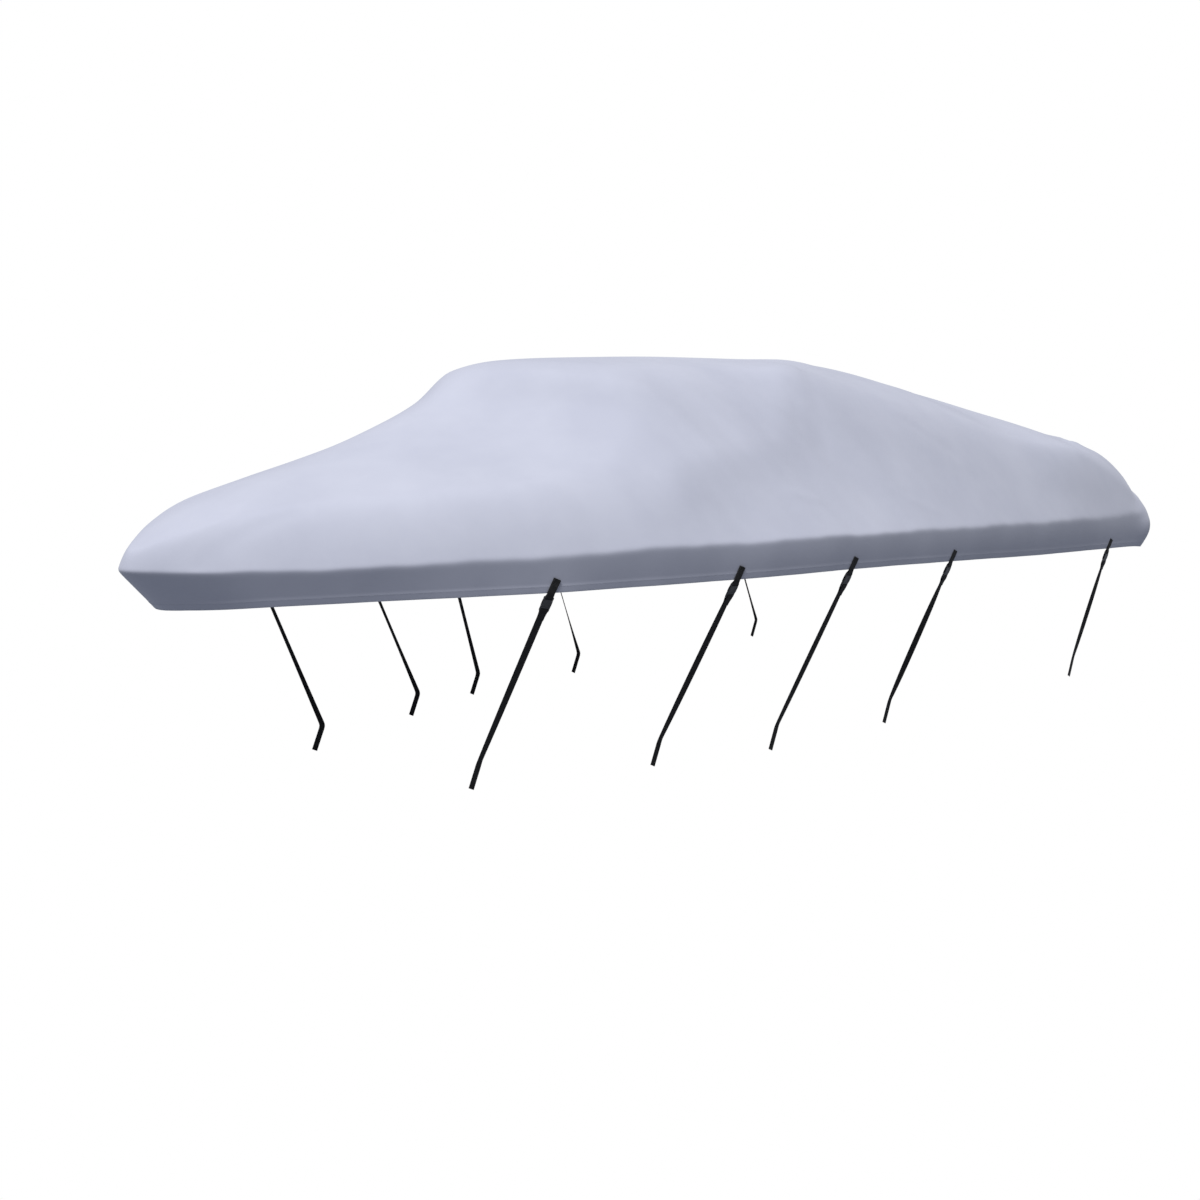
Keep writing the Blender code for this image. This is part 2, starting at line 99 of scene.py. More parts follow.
seen, ways_of_light = node(sky, "ShaderNodeMixShader"), node(sky, "ShaderNodeLightPath")
sky.links.new(ways_of_light.outputs["Is Camera Ray"], seen.inputs["Fac"])
for i, colour, strength in ((1, SKY_TINT, SKY_STRENGTH), (2, (1, 1, 1), 1.0)):
    glow = node(sky, "ShaderNodeBackground", Color=(*colour, 1), Strength=strength)
    sky.links.new(glow.outputs["Background"], seen.inputs[i])
sky_out = node(sky, "ShaderNodeOutputWorld")
sky.links.new(seen.outputs["Shader"], sky_out.inputs["Surface"])
bpy.context.scene.world = world


def new_material(name, **values):
    """A material with these values on its shader, with its node tree and shader."""
    made = bpy.data.materials.new(name)
    made.use_nodes = True
    shader = made.node_tree.nodes["Principled BSDF"]
    fill(shader, values)
    return made, made.node_tree, shader


ground_mesh = bpy.data.meshes.new("ground")
half_ground = GROUND_SIZE / 2
ground_mesh.from_pydata([(x * half_ground, y * half_ground, GROUND_HEIGHT)
                         for x, y in ((-1, -1), (1, -1), (1, 1), (-1, 1))], [], [(0, 1, 2, 3)])
ground = bpy.data.objects.new("ground", ground_mesh)
ground_mesh.materials.append(new_material(
    "ground_paint", Base_Color=(*GROUND_GREY, 1), Roughness=1.0, Specular_IOR_Level=0.0)[0])
ground.visible_camera = False
bpy.context.collection.objects.link(ground)

# The sheet: grey polyester canvas with a coated back, cut to fit and drawn tight. It peaks
# over what holds it up, folds softly along its widest line, and hangs as a short skirt
# whose edge is turned up into a hem
LENGTH = 4.88            # bow tip to stern edge
STERN_CORNER = 0.10      # radius of the corner in plan
STERN_BOW = 0.02         # how far the stern's middle stands out
CLOTH = 0.0012           # cloth thickness
HEM_WIDTH = 0.024
HEM_EXTRA = 0.0012       # extra thickness where the edge is turned up
CROWN_X = 2.30           # the frame's origin lies this far from the bow tip
CROWN_UNDERSIDE = 0.003  # and this far below the top of the crown
COLUMNS_A_SIDE = 280
ROWS_IN = 62
ROWS_DOWN = 12           # between the hem and the fold
ROWS_CROWD = 1.6         # how strongly the rows above the fold crowd towards it
FINE_STATIONS = 3001     # from which the columns are picked
TURN_WEIGHT = 0.3        # metres of outline for which a radian of its turning counts
HEM_HEIGHTS = (0.0, 0.002, 0.008, 0.016, HEM_WIDTH - 0.002, HEM_WIDTH, HEM_WIDTH + 0.0015)
HEM_SHARES = (0.55, 1.0, 1.0, 1.0, 1.0, 0.55, 0.0)  # of the extra thickness, at each height
FOLD_ROUNDING = 5        # how often the rows at the fold are averaged to round it
ROUND_BELOW, ROUND_ABOVE = 3, 6  # how many of those rows lie below the fold and above it
SHARP_CLOTH = 60.0       # degrees beyond which an edge of the cloth isn't shaded smooth
NOTHING = 1e-9           # keeps a division from zero
TOUCHING = 1e-6          # points closer than this are the same

# Distance from the bow tip, half breadth at the widest line, height of the crown, the share
# of it lost towards the sides, and how far the section sweeps back away from the middle
SECTION_COLUMNS = ("station", "half_breadth", "crown", "fall", "sweep")
SECTIONS = (
    (0.00, 0.000, 0.040, 0.00, 0.60),
    (0.05, 0.100, 0.085, 0.00, 0.60),
    (0.14, 0.210, 0.140, 0.05, 0.60),
    (0.28, 0.352, 0.205, 0.10, 0.60),
    (0.50, 0.525, 0.270, 0.15, 0.65),
    (0.82, 0.722, 0.358, 0.20, 0.75),
    (1.04, 0.838, 0.438, 0.20, 0.90),
    (1.22, 0.905, 0.518, 0.20, 0.98),
    (1.40, 0.965, 0.638, 0.20, 1.00),
    (1.60, 1.015, 0.676, 0.24, 0.95),
    (2.00, 1.090, 0.696, 0.32, 0.80),
    (2.40, 1.125, 0.707, 0.38, 0.50),
    (2.80, 1.138, 0.709, 0.46, 0.15),
    (3.20, 1.143, 0.700, 0.56, 0.00),
    (3.50, 1.141, 0.680, 0.62, 0.00),
    (3.80, 1.137, 0.624, 0.62, 0.00),
    (4.10, 1.130, 0.565, 0.58, 0.00),
    (4.40, 1.122, 0.505, 0.53, 0.00),
    (4.70, 1.114, 0.440, 0.53, 0.00),
    (4.88, 1.110, 0.400, 0.53, 0.00),
)

# Heights of the fold and the hem, how far the hem lies inside the fold and aft of it, how
# far the skirt bulges, and how steeply the cloth rises above the fold
EDGE_COLUMNS = ("station", "fold", "hem", "inset", "rake", "bulge", "rise")
EDGE = (
    (0.00, 0.012, -0.115, 0.010, 0.115, 0.000, 2.6),
    (0.05, 0.011, -0.112, 0.014, 0.096, 0.000, 2.5),
    (0.14, 0.010, -0.106, 0.018, 0.063, 0.000, 2.4),
    (0.30, 0.016, -0.094, 0.022, 0.021, 0.000, 2.2),
    (0.80, 0.031, -0.079, 0.024, 0.000, 0.000, 2.0),
    (1.45, 0.050, -0.073, 0.022, 0.000, 0.002, 1.35),
    (2.05, 0.050, -0.075, 0.020, 0.000, 0.004, 0.98),
    (2.45, 0.044, -0.082, 0.020, 0.000, 0.004, 0.98),
    (2.95, 0.034, -0.098, 0.020, 0.000, 0.005, 1.18),
    (3.85, 0.012, -0.132, 0.020, 0.000, 0.006, 1.35),
    (4.40, 0.002, -0.148, 0.018, 0.000, 0.006, 1.8),
    (4.70, 0.002, -0.158, 0.015, 0.000, 0.009, 1.7),
    (4.86, 0.022, -0.168, 0.022, 0.000, 0.034, 1.3),
    (5.20, 0.034, -0.170, 0.030, 0.000, 0.020, 2.2),
    (5.95, 0.034, -0.170, 0.030, 0.000, 0.016, 2.6),
)
SOFTNESS = 0.13          # height over which the rising side turns into the crowned top
SOFTEST = 0.95           # and its most, as a share of the top's height above the fold
NARROWEST = 0.02         # least half breadth that the crown's fall is reckoned with
RIDGE_ROUND = 0.15       # how wide the middle of the crown is rounded
SPINE_START = 0.45       # stations at which the spine, where the columns end, starts and ends
SPINE_END = 4.30
FOLDS_FULL = 0.12        # share of the way to the spine at which a fold has its full height

# Soft creases and hollows of the top, each along a line in plan: both ends, half width and
# height
FOLDS = (
    (3.05, -0.26, 2.32, -0.76, 0.17, 0.022),
    (2.32, -0.76, 1.55, -0.86, 0.10, 0.014),
    (2.85, -0.80, 3.90, -0.82, 0.20, -0.012),
    (3.00, 0.28, 2.35, 0.74, 0.18, 0.020),
    (2.35, 0.74, 1.60, 0.84, 0.11, 0.012),
    (2.90, 0.78, 3.95, 0.80, 0.20, -0.010),
)

# Fine creases of the slack between the drawn folds, in the same way: hollows and a ridge
# along the main fold, hollows at the top's edge, short diagonal creases over the side, and
# the gathers that meet at each stern corner
CREASES = (
    (2.36, -0.735, 2.27, -0.775, 0.120, -0.013),
    (2.62, -0.53, 2.24, -0.807, 0.060, 0.007),
    (2.17, -0.830, 1.60, -0.824, 0.060, 0.006),
    (2.92, -0.16, 3.10, -0.27, 0.110, -0.011),
    (3.55, -0.38, 3.70, -0.49, 0.140, -0.014),
    (3.02, -0.79, 3.20, -0.90, 0.012, 0.0045),
    (3.04, -0.83, 3.24, -0.95, 0.012, -0.0040),
    (3.11, -0.80, 3.26, -0.89, 0.010, 0.0030),
    (2.74, -1.045, 2.86, -1.09, 0.010, 0.0035),
    (2.07, -0.955, 2.19, -1.00, 0.010, 0.0035),
    (2.62, -0.58, 2.36, -0.83, 0.014, 0.0030),
    (2.68, -0.60, 2.44, -0.85, 0.014, -0.0025),
    (4.30, -0.98, 4.74, -1.085, 0.016, 0.0050),
    (4.38, -0.93, 4.78, -1.055, 0.016, -0.0060),
    (4.46, -0.86, 4.82, -1.02, 0.018, 0.0060),
    (4.56, -0.80, 4.86, -0.99, 0.018, -0.0050),
    (4.49, -0.90, 4.57, -0.78, 0.050, 0.0100),
    (4.72, -1.10, 4.90, -0.92, 0.022, -0.0120),
    (4.80, -0.86, 4.72, -0.40, 0.022, 0.0060),
    (4.85, -0.74, 4.80, -0.22, 0.020, -0.0050),
    (4.79, 0.80, 4.70, 0.30, 0.024, 0.0060),
    (4.86, 0.66, 4.82, 0.10, 0.018, -0.0045),
    (0.30, -0.20, 0.06, -0.10, 0.016, 0.0030),
    (0.42, -0.33, 0.13, -0.19, 0.018, -0.0030),
    (3.30, 0.86, 3.52, 0.95, 0.012, 0.0040),
    (3.34, 0.90, 3.56, 1.00, 0.012, -0.0035),
    (1.80, 0.90, 1.95, 0.96, 0.011, 0.0035),
    (4.34, 0.96, 4.76, 1.08, 0.016, 0.0050),
    (4.44, 0.90, 4.80, 1.04, 0.017, -0.0060),
    (4.52, 0.83, 4.84, 1.00, 0.018, 0.0055),
    (4.74, 1.09, 4.91, 0.90, 0.022, -0.0110),
)
CREASES_FULL = 0.015     # the same share for a crease

# Unevenness of the fold's height and of the skirt's hang: waves round the edge with their
# number a metre (in radians), height and phase
FOLD_WAVES = ((9.7, 0.0020, 0.4), (23.0, 0.0014, 2.1), (57.0, 0.0008, 1.0))
SKIRT_WAVES = ((7.1, 0.0022, 1.3), (19.0, 0.0013, 0.2), (41.0, 0.0006, 2.6))
FAR_SIDE_PHASE = 1.9     # added on the starboard side
CALM = 0.25              # the waves die out over this length at the bow tip and stern's middle
LEAN_COLUMNS = ("station", "lean")
SKIRT_LEANS = (          # how far the hem stands out where the skirt is pulled less or more
    (0.00, 0.0000),
    (0.22, -0.0050),
    (0.45, -0.0075),
    (0.80, -0.0010),
    (1.20, 0.0050),
    (1.90, 0.0045),
    (2.60, 0.0020),
    (3.20, 0.0000),
    (3.90, -0.0060),
    (4.40, -0.0045),
    (4.70, -0.0060),
    (4.88, 0.0100),
    (5.20, 0.0150),
    (5.95, 0.0130),
)
DART_STATION = 0.055     # a narrow tuck in the skirt on each side of the bow
DART_HALF = 0.010
DART_DEPTH = 0.003


def table_column(rows, names, name, at):
    """Smooth values of one column, read between the rows without overshoot."""
    table = np.array(rows)
    xs = np.sqrt(table[:, 0])
    ys = table[:, names.index(name)]
    at = np.sqrt(np.clip(at, table[0, 0], table[-1, 0]))
    gaps = np.diff(xs)
    slopes = np.diff(ys) / gaps
    tangents = np.zeros(len(xs))
    tangents[0], tangents[-1] = slopes[0], slopes[-1]
    for i in range(1, len(xs) - 1):
        before, after = slopes[i - 1], slopes[i]
        if before * after > 0:
            w1, w2 = 2 * gaps[i] + gaps[i - 1], gaps[i] + 2 * gaps[i - 1]
            tangents[i] = (w1 + w2) / (w1 / before + w2 / after)
    i = np.clip(np.searchsorted(xs, at) - 1, 0, len(xs) - 2)
    gap = gaps[i]
    t = (at - xs[i]) / gap
    return (
        (1 + 2 * t) * (1 - t) ** 2 * ys[i] + t * (1 - t) ** 2 * gap * tangents[i]
        + t * t * (3 - 2 * t) * ys[i + 1] + t * t * (t - 1) * gap * tangents[i + 1]
    )


def section(name, at):
    return table_column(SECTIONS, SECTION_COLUMNS, name, at)


def edge(name, at):
    return table_column(EDGE, EDGE_COLUMNS, name, at)


CORNER_START = LENGTH - STERN_CORNER
CORNER_END = CORNER_START + math.pi / 2 * STERN_CORNER
STERN_HALF = float(section("half_breadth", CORNER_START)) - STERN_CORNER
LAST_STATION = CORNER_END + STERN_HALF


def outline(station):
    """Plan position (x, distance from the centreline) of the widest line."""
    turn = np.clip((station - CORNER_START) / STERN_CORNER, 0, math.pi / 2)
    across = np.clip(LAST_STATION - station, 0, STERN_HALF)
    bow_out = STERN_BOW * (1 - (across / STERN_HALF) ** 2)
    side = station < CORNER_START
    x = np.where(side, station, CORNER_START + STERN_CORNER * np.sin(turn) + bow_out)
    y = np.where(
        side, section("half_breadth", station),
        np.where(station < CORNER_END, STERN_HALF + STERN_CORNER * np.cos(turn), across),
    )
    return x, y


def column_stations(count):
    """Stations from bow tip to stern middle, closest where the outline turns most."""
    fine = LAST_STATION * np.linspace(0, 1, FINE_STATIONS) ** 2
    x, y = outline(fine)
    steps = np.hypot(np.diff(x), np.diff(y))
    heading = np.unwrap(np.arctan2(np.diff(y), np.diff(x)))
    turning = np.abs(np.diff(heading, prepend=heading[0]))
    travelled = np.concatenate([[0], np.cumsum(steps + TURN_WEIGHT * turning)])
    return np.interp(np.linspace(0, travelled[-1], count + 1), travelled, fine)


def soft_min(a, b, soft):
    """The lower of two heights, rounded where they are closer than a softness."""
    near = np.maximum(soft - np.abs(a - b), 0) / soft
    return np.minimum(a, b) - near * near * soft / 4


def crown(x, y):
    """Height of the crowned top where no side limits it."""
    half = np.maximum(section("half_breadth", np.minimum(x, CORNER_START)), NARROWEST)
    spread = np.clip(np.abs(y) / half, 0, 1)
    aside = np.hypot(y, RIDGE_ROUND) - RIDGE_ROUND
    height = section("crown", x - section("sweep", x) * aside)
    return height * (1 - section("fall", x) * spread ** 2)


def folds(x, y, lines):
    """Height that creases and hollows of the drawn cloth add to the top."""
    height = np.zeros(np.shape(x))
    for x0, y0, x1, y1, half_width, lift in lines:
        run_x, run_y = x1 - x0, y1 - y0
        along = np.clip(((x - x0) * run_x + (y - y0) * run_y) / (run_x ** 2 + run_y ** 2), 0, 1)
        away = np.hypot(x - x0 - along * run_x, y - y0 - along * run_y)
        height = height + lift * np.exp(-(away / half_width) ** 2)
    return height


def waves(kinds, at, side):
    """Sum of waves round the edge; the far side has others than the near side."""
    phase = np.where(side > 0, FAR_SIDE_PHASE, 0.0)
    return sum(high * np.sin(turns * at + start + phase) for turns, high, start in kinds)


# Rows of the sheet from the rim up to the spine, the line on the centreline to which all
# the columns run. Columns go round along port to the stern middle and back on starboard
stations = column_stations(COLUMNS_A_SIDE)
around = np.arange(2 * COLUMNS_A_SIDE)
nearest = np.where(around <= COLUMNS_A_SIDE, around, 2 * COLUMNS_A_SIDE - around)
side_sign = np.where(around <= COLUMNS_A_SIDE, -1.0, 1.0)
station = stations[nearest]
plan_x, half_breadth = outline(station)
plan_y = half_breadth * side_sign
ahead, behind = np.roll(around, -1), np.roll(around, 1)
out_x, out_y = plan_y[ahead] - plan_y[behind], plan_x[behind] - plan_x[ahead]
size = np.hypot(out_x, out_y)
out_x, out_y = out_x / size, out_y / size
calm = np.clip(station / CALM, 0, 1) * np.clip((LAST_STATION - station) / CALM, 0, 1)
fold_height = edge("fold", station) + calm * waves(FOLD_WAVES, station, side_sign)
hem_height = edge("hem", station)
skirt_drop = fold_height - hem_height
dart = DART_DEPTH * np.exp(-((station - DART_STATION) / DART_HALF) ** 2)
lean = table_column(SKIRT_LEANS, LEAN_COLUMNS, "lean", station)

rows = []
ways = [1 - height / skirt_drop for height in HEM_HEIGHTS]
ways += [ways[-1] * (1 - (k + 1) / ROWS_DOWN) for k in range(ROWS_DOWN - 1)]
for way in ways:
    out = edge("bulge", station) * np.sin(math.pi * way) - edge("inset", station) * way
    out = out + (lean + calm * waves(SKIRT_WAVES, station, side_sign) - dart) * way
    aft = edge("rake", station) * way
    rows.append((plan_x + out * out_x + aft, plan_y + out * out_y, fold_height - skirt_drop * way))
spine_x = SPINE_START + (SPINE_END - SPINE_START) * station / LAST_STATION
reach_in = np.hypot(spine_x - plan_x, plan_y)
soft = np.minimum(SOFTNESS, SOFTEST * (crown(plan_x, plan_y) - fold_height))
for k in range(ROWS_IN):
    way = (k / ROWS_IN) ** ROWS_CROWD
    in_x, in_y = plan_x + (spine_x - plan_x) * way, plan_y * (1 - way)
    rise = fold_height + edge("rise", station) * reach_in * way
    top = soft_min(rise, crown(in_x, in_y), soft)
    top = top + folds(in_x, in_y, FOLDS) * min(1, way / FOLDS_FULL)
    rows.append((in_x, in_y, top + folds(in_x, in_y, CREASES) * min(1, way / CREASES_FULL)))
spine_top = crown(spine_x, 0 * spine_x) + folds(spine_x, 0 * spine_x, FOLDS)
rows.append((spine_x, 0 * spine_x, spine_top))
hem_share = np.zeros((len(rows), 1, 1))
hem_share[:len(HEM_SHARES), 0, 0] = HEM_SHARES

middle = np.array(rows).transpose(0, 2, 1)
to_origin = np.array([-CROWN_X, 0.0, CROWN_UNDERSIDE - float(crown(CROWN_X, 0.0))])
middle += to_origin
fold_row = len(HEM_HEIGHTS) + ROWS_DOWN - 1
for _ in range(FOLD_ROUNDING):
    part = middle[fold_row - ROUND_BELOW - 1:fold_row + ROUND_ABOVE + 1].copy()
    averaged = part[1:-1] / 2 + (part[:-2] + part[2:]) / 4
    middle[fold_row - ROUND_BELOW:fold_row + ROUND_ABOVE] = averaged


def grid_normals(grid):
    """Outward directions of a sheet's points, the same on both sides of the spine."""
    along = np.roll(grid, -1, axis=1) - np.roll(grid, 1, axis=1)
    up = np.gradient(grid, axis=0)
    normals = np.cross(along, up)
    size = np.linalg.norm(normals, axis=2, keepdims=True)
    normals = normals / np.maximum(size, NOTHING)
    normals[-1] = (normals[-2] + normals[-2][(2 * COLUMNS_A_SIDE - around) % len(around)]) / 2
    return normals / np.linalg.norm(normals, axis=2, keepdims=True)


extra = HEM_EXTRA / 2 * hem_share
normals = grid_normals(middle)
outer = middle + normals * extra
inner = middle - normals * (CLOTH + extra)


def sheet_faces(row_count, offset, flip):
    """Quads of one skin, the last row of which is shared by both sides of the spine."""
    columns = len(around)
    faces = []
    for i in range(row_count - 1):
        for k in range(columns):
            nxt = (k + 1) % columns
            face = (i * columns + k, i * columns + nxt)
            if i < row_count - 2:
                face += ((i + 1) * columns + nxt, (i + 1) * columns + k)
            else:
                face += tuple((i + 1) * columns + min(j, columns - j) for j in (k + 1, k))
            face = tuple(offset + j for j in face)
            faces.append(face[::-1] if flip else face)
    return faces


row_count, columns = outer.shape[:2]
count = row_count * columns
points = np.concatenate([outer.reshape(-1, 3), inner.reshape(-1, 3)])
faces = sheet_faces(row_count, 0, False) + sheet_faces(row_count, count, True)
for k in range(columns):
    nxt = (k + 1) % columns
    faces.append((nxt, k, count + k, count + nxt))

# Cloth coordinates in metres: the sheet laid out flat from the spine outwards
away_x, away_y = plan_x - spine_x, plan_y
away_size = np.maximum(np.hypot(away_x, away_y), TOUCHING)
away = np.stack([away_x / away_size, away_y / away_size], axis=1)
STRETCH = 0.69           # how much a drop in height adds to the cloth's length outwards
dropped = (middle[-1:, :, 2] - middle[:, :, 2]) * STRETCH
laid_out = middle[:, :, :2] + away[None] * dropped[:, :, None]


def mesh_piece(name, points, faces, uv):
    """A smooth piece from its points, with texture coordinates in metres."""
    mesh = bpy.data.meshes.new(name)
    mesh.from_pydata(points.tolist(), [], faces)
    mesh.validate()
    layer = mesh.uv_layers.new(name="metres")
    corners = np.zeros(len(mesh.loops), dtype=np.int32)
    mesh.loops.foreach_get("vertex_index", corners)
    layer.data.foreach_set("uv", uv[corners].astype(np.float32).ravel())
    mesh.shade_smooth()
    piece = bpy.data.objects.new(name, mesh)
    bpy.context.collection.objects.link(piece)
    return piece


cover = mesh_piece("cover", points, faces, np.concatenate([laid_out.reshape(-1, 2)] * 2))
shape = bmesh.new()
shape.from_mesh(cover.data)
bmesh.ops.delete(shape, geom=[v for v in shape.verts if not v.link_faces], context="VERTS")
shape.to_mesh(cover.data)
shape.free()
cover.data.set_sharp_from_angle(angle=math.radians(SHARP_CLOTH))


def noise(tree, place, **values):
    """Noise with these values, read at a place."""
    made = node(tree, "ShaderNodeTexNoise", **values)
    tree.links.new(place, made.inputs["Vector"])
    return made.outputs["Fac"]


def threads(tree, place, direction, pitch, distortion):
    """Threads side by side in a direction of the cloth, at a pitch in metres."""
    made = node(tree, "ShaderNodeTexWave", {"wave_type": "BANDS", "bands_direction": direction},
                Scale=2 * math.pi / pitch / WAVE_TURNS, Distortion=distortion, Detail=1.0)
    tree.links.new(place, made.inputs["Vector"])
    return made.outputs["Fac"]


def product(tree, first, second):
    made = node(tree, "ShaderNodeMath", {"operation": "MULTIPLY"})
    tree.links.new(first, made.inputs[0])
    tree.links.new(second, made.inputs[1])
    return made.outputs["Value"]


def tint(tree, shader, factor, low, dark, high, pale):
    """Base colour that goes from dark to pale as a factor goes from low to high."""
    ramp = node(tree, "ShaderNodeValToRGB")
    for stop, at, colour in zip(ramp.color_ramp.elements, (low, high), (dark, pale)):
        stop.position, stop.color = at, (*colour, 1)
    tree.links.new(factor, ramp.inputs["Fac"])
    tree.links.new(ramp.outputs["Color"], shader.inputs["Base Color"])


def relief(tree, shader, height, strength, distance):
    """Relief of the surface that follows a height."""
    bump = node(tree, "ShaderNodeBump", Strength=strength, Distance=distance)
    tree.links.new(height, bump.inputs["Height"])
    tree.links.new(bump.outputs["Normal"], shader.inputs["Normal"])


CANVAS_DARK, CANVAS_PALE = (0.268, 0.278, 0.338), (0.296, 0.306, 0.366)
CANVAS_PITCH = 0.0011    # from thread to thread
WAVE_TURNS = 20          # radians that the wave texture turns in a unit, at a scale of 1


def canvas_material():
    """Woven polyester with a matt coat: fine threads and faint mottling."""
    made, tree, shader = new_material("grey_polyester", Roughness=0.72, Specular_IOR_Level=0.35,
                                      Sheen_Weight=0.12, Sheen_Roughness=0.5)
    cloth = node(tree, "ShaderNodeUVMap", {"uv_map": "metres"}).outputs["UV"]
    place = node(tree, "ShaderNodeTexCoord").outputs["Object"]
    mottle = noise(tree, place, Scale=2.3, Detail=5.0, Roughness=0.6)
    tint(tree, shader, mottle, 0.35, CANVAS_DARK, 0.68, CANVAS_PALE)
    weave = product(tree, *(threads(tree, cloth, way, CANVAS_PITCH, 0.4) for way in "XY"))
    relief(tree, shader, weave, 0.25, 0.0003)
    return made


canvas = canvas_material()
cover.data.materials.append(canvas)
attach(cover, "root")
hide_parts("cover_cloth")

# Stitching of the hem: two rows of lock stitch in grey polyester thread, one near the rim
# and one at the turned edge, right round the cover and on both faces
STITCH_ROWS = (0.0035, 0.0205)  # heights above the rim
STITCH_PITCH = 0.0045
STITCH_LENGTH = 0.0036
STITCH_THICKNESS = 0.0008
STITCH_OUT = 0.0001      # how far a stitch's middle lies outside the cloth
STITCH_SIDES, STITCH_RINGS = 6, 3  # faces round a stitch and along it
GREY_DARK, GREY_PALE = (0.20, 0.215, 0.26), (0.30, 0.315, 0.36)


def stitch_tree():
    """Stitches of thread along the edges of a mesh, one at each pitch."""
    tree = bpy.data.node_groups.new("stitches", "GeometryNodeTree")
    add = tree.interface.new_socket
    add("Geometry", in_out="INPUT", socket_type="NodeSocketGeometry")
    inputs = {name: add(name, in_out="INPUT", socket_type="NodeSocketFloat").identifier
              for name in ("Pitch", "Length", "Thickness")}
    inputs["Thread"] = add("Thread", in_out="INPUT", socket_type="NodeSocketMaterial").identifier
    add("Geometry", in_out="OUTPUT", socket_type="NodeSocketGeometry")
    given, made = tree.nodes.new("NodeGroupInput"), tree.nodes.new("NodeGroupOutput")
    line = tree.nodes.new("GeometryNodeMeshToCurve")
    places = node(tree, "GeometryNodeCurveToPoints", {"mode": "LENGTH"})
    bead = node(tree, "GeometryNodeMeshUVSphere", Segments=STITCH_SIDES,
                Rings=STITCH_RINGS, Radius=0.5)
    size = tree.nodes.new("ShaderNodeCombineXYZ")
    stitches = tree.nodes.new("GeometryNodeInstanceOnPoints")
    real = tree.nodes.new("GeometryNodeRealizeInstances")
    paint = tree.nodes.new("GeometryNodeSetMaterial")
    for source, socket, target, name in (
            (given, "Geometry", line, "Mesh"), (line, "Curve", places, "Curve"),
            (given, "Pitch", places, "Length"), (places, "Points", stitches, "Points"),
            (bead, "Mesh", stitches, "Instance"), (places, "Rotation", stitches, "Rotation"),
            (given, "Thickness", size, "X"), (given, "Thickness", size, "Y"),
            (given, "Length", size, "Z"), (size, "Vector", stitches, "Scale"),
            (stitches, "Instances", real, "Geometry"), (real, "Geometry", paint, "Geometry"),
            (given, "Thread", paint, "Material"), (paint, "Geometry", made, "Geometry")):
        tree.links.new(source.outputs[socket], target.inputs[name])
    return tree, inputs


def stitched(name, lines, pitch, length, thickness, thread):
    """A mesh of stitches along lines of points; a line that ends where it starts is closed."""
    points, edges = [], []
    for line in lines:
        first = len(points)
        closed = np.linalg.norm(line[0] - line[-1]) < TOUCHING
        points += [tuple(p) for p in (line[:-1] if closed else line)]
        edges += [(i, i + 1) for i in range(first, len(points) - 1)]
        edges += [(len(points) - 1, first)] if closed else []
    guide = bpy.data.meshes.new(name + "_guide")
    guide.from_pydata(points, edges, [])
    piece = bpy.data.objects.new(name, guide)
    bpy.context.collection.objects.link(piece)
    modifier = piece.modifiers.new("stitches", "NODES")
    modifier.node_group = stitches
    for socket, value in zip(stitch_inputs.values(), (pitch, length, thickness, thread)):
        modifier[socket] = value
    bpy.context.view_layer.update()
    evaluated = piece.evaluated_get(bpy.context.evaluated_depsgraph_get())
    mesh = bpy.data.meshes.new_from_object(evaluated)
    piece.modifiers.clear()
    piece.data = mesh
    mesh.name = name
    mesh.shade_smooth()
    return piece


def thread_material(name, dark, pale):
    """Twisted polyester thread, a little lighter where the twist catches the light."""
    made, tree, shader = new_material(name, Roughness=0.55)
    place = node(tree, "ShaderNodeTexCoord").outputs["Object"]
    tint(tree, shader, noise(tree, place, Scale=900.0, Detail=2.0), 0.38, dark, 0.62, pale)
    return made


def stitch_line(skin, height, side):
    """A closed line round the hem at a height above the rim, just off that face."""
    row = int(np.searchsorted(HEM_HEIGHTS, height))
    share = (height - HEM_HEIGHTS[row - 1]) / (HEM_HEIGHTS[row] - HEM_HEIGHTS[row - 1])
    line = skin[row - 1] * (1 - share) + skin[row] * share + normals[row] * side * STITCH_OUT
    return np.concatenate([line, line[:1]])


stitches, stitch_inputs = stitch_tree()
grey_thread = thread_material("grey_thread", GREY_DARK, GREY_PALE)
for name, skin, side in (("hem_stitches_outside", outer, 1), ("hem_stitches_inside", inner, -1)):
    sewn = stitched(name, [stitch_line(skin, height, side) for height in STITCH_ROWS],
                    STITCH_PITCH, STITCH_LENGTH, STITCH_THICKNESS, grey_thread)
    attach(sewn, "root")

# Tabs: black polyester webbing folded round the upper bar of each buckle and sewn on the
# skirt, five a side, with both ends together under a box of stitches with a cross in it
WEB_WIDTH = 0.025
WEB = 0.002              # webbing thickness
CLEAR = 0.0004           # gap between pieces that lie on each other
STRAP_COLUMNS = ("station", "edge_x", "edge_y", "twist")
STRAPS = (               # tab's station, plan position of the edge below, middle twist
    (1.000, 1.045, 0.430, 6.0),
    (1.676, 1.710, 0.660, 18.0),
    (2.250, 2.200, 0.820, 12.0),
    (2.920, 2.910, 0.870, 38.0),
    (4.400, 4.440, 0.940, 22.0),
)
EDGE_HEIGHT = -0.680     # of the edge below, where each strap bends to hang straight
TAB_HEIGHT = 0.045       # how far up the skirt a tab is sewn
TAB_SLANT = 0.4          # how far it leans aft for each metre up the skirt
TAB_STEP = 0.003
TAB_DROP = 0.017         # from the hem to the middle of the buckle's upper bar
LOOP = 0.0046            # from a bar's middle to the middle of the webbing round it
OUTWARD = 0.0028         # how far outside the skirt the buckle's middle plane lies
WEB_RING = 0.0025        # distance between the rings of a piece of webbing
EDGE_STEPS = 4           # faces round each edge of the webbing
FACE_STEPS = 6           # and across each of its sides
LOOP_POINTS = 13         # of its middle line round a bar
